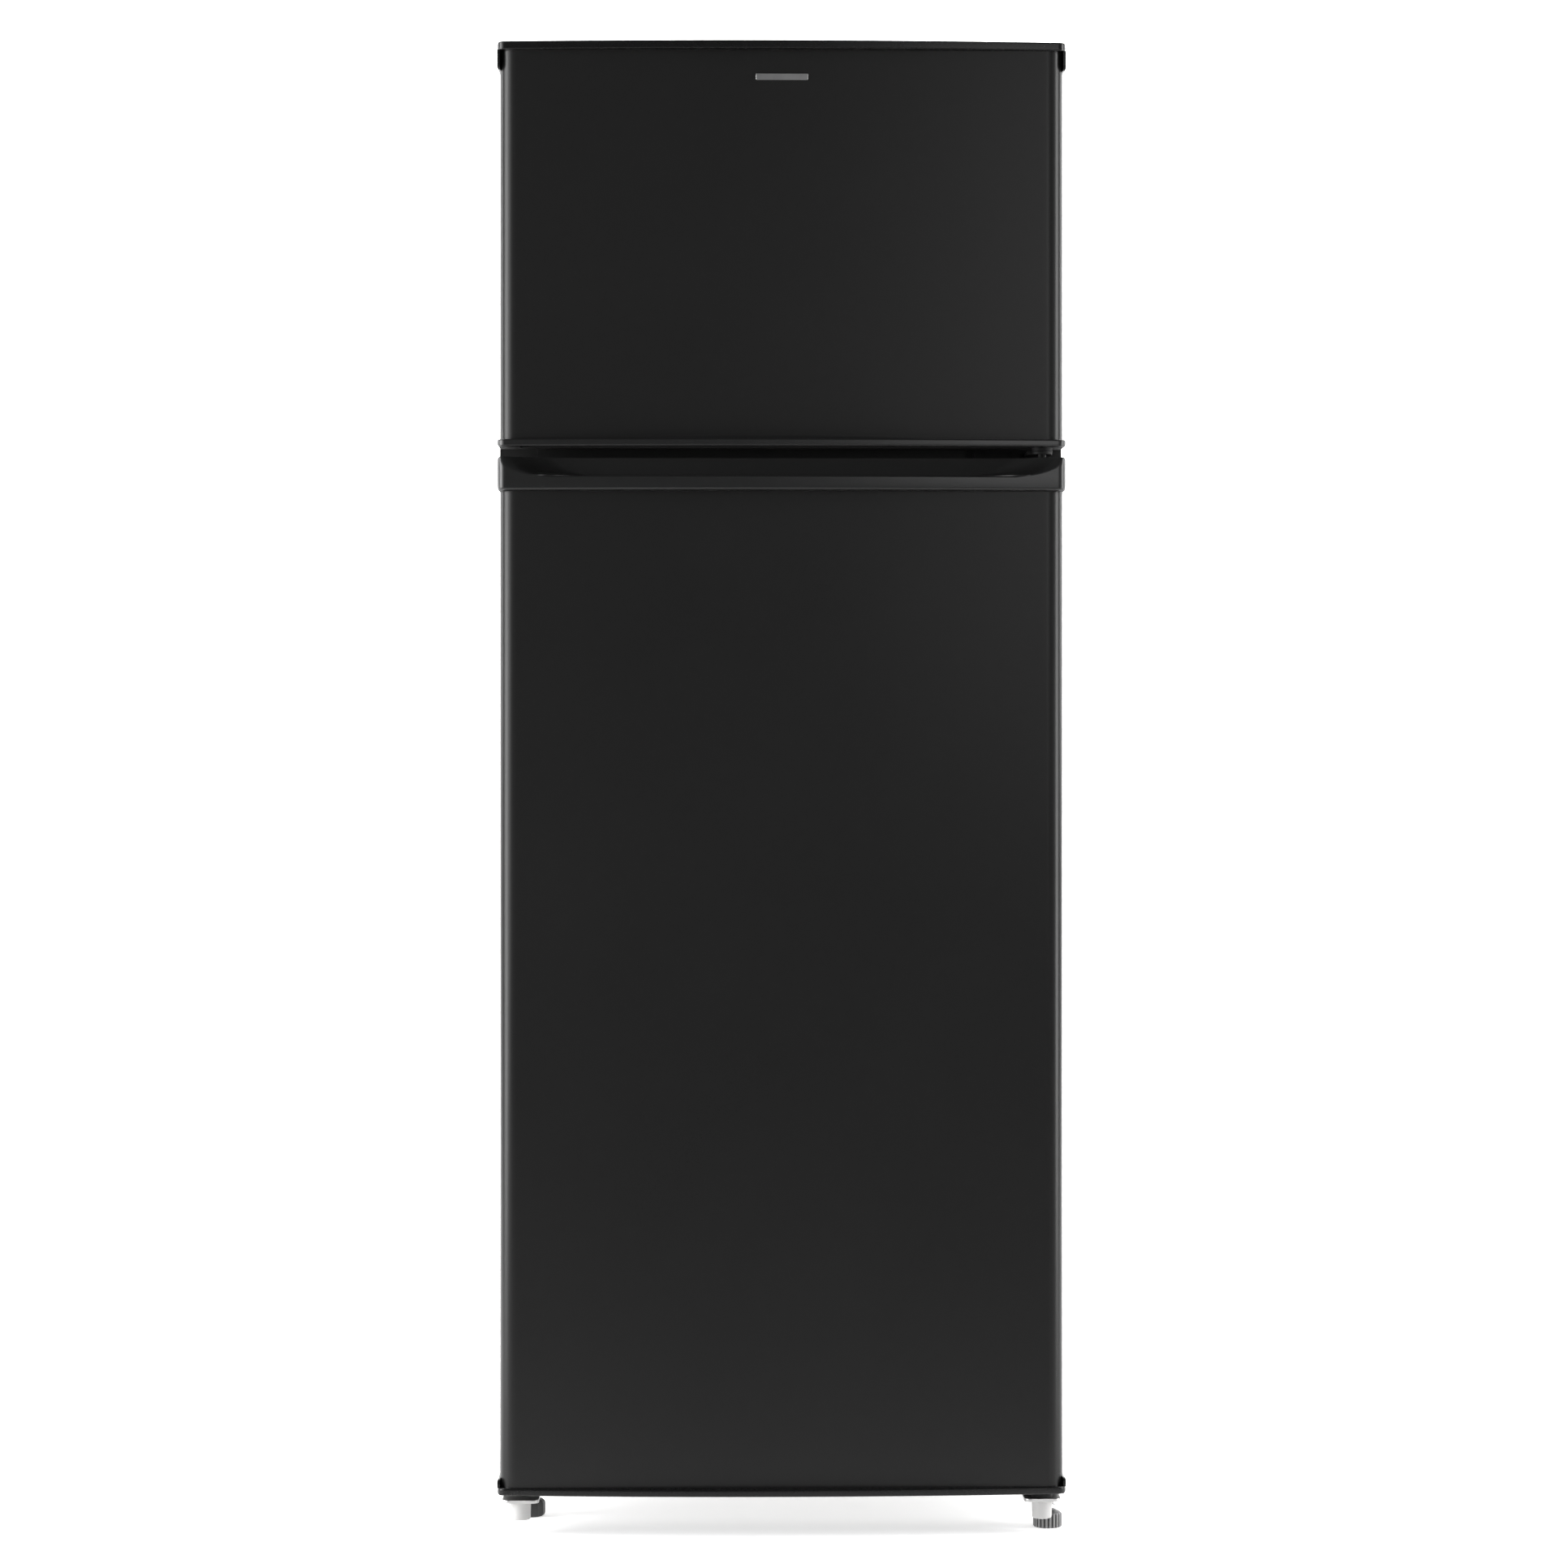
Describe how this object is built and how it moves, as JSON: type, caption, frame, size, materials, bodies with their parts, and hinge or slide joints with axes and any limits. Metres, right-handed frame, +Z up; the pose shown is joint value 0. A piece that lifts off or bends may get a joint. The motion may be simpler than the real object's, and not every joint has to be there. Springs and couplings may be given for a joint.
{
  "type": "top freezer refrigerator",
  "caption": "Free-standing refrigerator with a freezer above, bowed black doors hung on the right, finger-grip handles between them, wire condenser behind.",
  "frame": {"origin": "on the floor, under the middle of the appliance's box", "axes": "+Z up, +X to the right as seen from the front, the doors face -Y"},
  "size_m": [0.545, 0.555, 1.434],
  "materials": {
    "skin_black": "satin",
    "cap_black": "gloss",
    "white_plastic": "satin",
    "foam": "matte",
    "seal_black": "matte",
    "bush_black": "satin",
    "badge": "satin",
    "clear_plastic": "gloss",
    "cabinet_paint": "satin",
    "evaporator": "satin",
    "zinc_steel": "satin",
    "hinge_black": "satin",
    "foot_grey": "matte",
    "foot_black": "matte",
    "sleeve_white": "matte",
    "nut_chrome": "polished",
    "roller_grey": "matte",
    "compressor_black": "satin",
    "rubber": "matte",
    "condenser_black": "satin",
    "copper": "satin",
    "glass": "gloss",
    "wire_white": "satin",
    "lens": "satin"
  },
  "bodies": {
    "cabinet": {"cabinet_wrap": "cabinet_paint", "cabinet_foam": "foam", "freezer_liner": "white_plastic", "fridge_liner": "white_plastic", "evaporator_plates": "evaporator", "back_panel": "cabinet_paint", "cabinet_bottom": "zinc_steel", "crossbar": "cabinet_paint", "top_hinge": "hinge_black", "top_hinge_cover": "cap_black", "middle_hinge": "hinge_black", "hinge_screws": "zinc_steel", "front_base_rail": "zinc_steel", "bottom_hinge": "zinc_steel", "left_front_bracket": "zinc_steel", "bracket_screws": "zinc_steel", "pin_sleeves": "sleeve_white", "foot_lock_nut": "nut_chrome", "roller_axles": "zinc_steel", "compressor_base": "zinc_steel", "compressor": "compressor_black", "compressor_grommets": "rubber", "start_relay_box": "bush_black", "evaporation_tray": "bush_black", "condenser_tube": "condenser_black", "condenser_wires": "condenser_black", "wall_spacers": "bush_black", "discharge_line": "copper", "power_cord_gland": "bush_black", "shelf_glass": "glass", "shelf_trims": "white_plastic", "freezer_wire_shelf": "wire_white", "thermostat_box": "white_plastic", "lamp_lens": "lens", "door_switch_box": "white_plastic"},
    "freezer_door": {"freezer_door_skin": "skin_black", "freezer_door_foam": "foam", "freezer_door_inner_panel": "white_plastic", "freezer_door_seal": "seal_black", "freezer_door_top_cap": "cap_black", "freezer_door_bottom_trim": "cap_black", "freezer_door_bushes": "bush_black", "blank_badge": "badge", "freezer_door_racks": "clear_plastic"},
    "fridge_door": {"fridge_door_skin": "skin_black", "fridge_door_foam": "foam", "fridge_door_inner_panel": "white_plastic", "fridge_door_seal": "seal_black", "fridge_door_handle_cap": "cap_black", "fridge_door_bottom_cap": "cap_black", "fridge_door_bushes": "bush_black", "fridge_door_bottle_rack": "clear_plastic", "fridge_door_racks": "clear_plastic"},
    "crisper": {"crisper_drawer": "clear_plastic"},
    "switch_plunger": {"door_switch_plunger": "white_plastic"},
    "thermostat": {"thermostat_knob": "white_plastic"},
    "right_foot": {"right_levelling_foot": "foot_grey"},
    "left_foot": {"left_levelling_foot": "foot_black"},
    "right_roller": {"right_rear_roller": "roller_grey"},
    "left_roller": {"left_rear_roller": "roller_grey"}
  },
  "joints": [
    {"name": "freezer_door_hinge", "type": "hinge", "parent": "cabinet", "child": "freezer_door", "pos_m": [0.2505, -0.2455, 1.2], "axis": [0, 0, 1], "range_deg": [0, 115]},
    {"name": "fridge_door_hinge", "type": "hinge", "parent": "cabinet", "child": "fridge_door", "pos_m": [0.2505, -0.2455, 0.5], "axis": [0, 0, 1], "range_deg": [0, 115]},
    {"name": "crisper_slide", "type": "slide", "parent": "cabinet", "child": "crisper", "axis": [0, -1, 0], "range_m": [0, 0.15]},
    {"name": "switch_plunger_slide", "type": "slide", "parent": "cabinet", "child": "switch_plunger", "axis": [0, -1, 0], "range_m": [0, 0.006]},
    {"name": "thermostat_turn", "type": "hinge", "parent": "cabinet", "child": "thermostat", "pos_m": [0.18, -0.024, 0.919], "axis": [-1, 0, 0], "range_deg": [0, 280]},
    {"name": "right_foot_turn", "type": "hinge", "parent": "cabinet", "child": "right_foot", "pos_m": [0.258, -0.2185, 0.01], "axis": [0, 0, 1], "continuous": true},
    {"name": "left_foot_turn", "type": "hinge", "parent": "cabinet", "child": "left_foot", "pos_m": [-0.2445, -0.1555, 0.01], "axis": [0, 0, 1], "continuous": true},
    {"name": "right_roller_spin", "type": "hinge", "parent": "cabinet", "child": "right_roller", "pos_m": [0.2105, 0.2115, 0.015], "axis": [1, 0, 0], "continuous": true},
    {"name": "left_roller_spin", "type": "hinge", "parent": "cabinet", "child": "left_roller", "pos_m": [-0.2105, 0.2115, 0.015], "axis": [1, 0, 0], "continuous": true}
  ],
  "couplings": [
    {"joint": "crisper_slide", "follows": "fridge_door_hinge", "m_per_rad": 0.0747},
    {"joint": "switch_plunger_slide", "follows": "fridge_door_hinge", "m_per_rad": 0.00298}
  ]
}
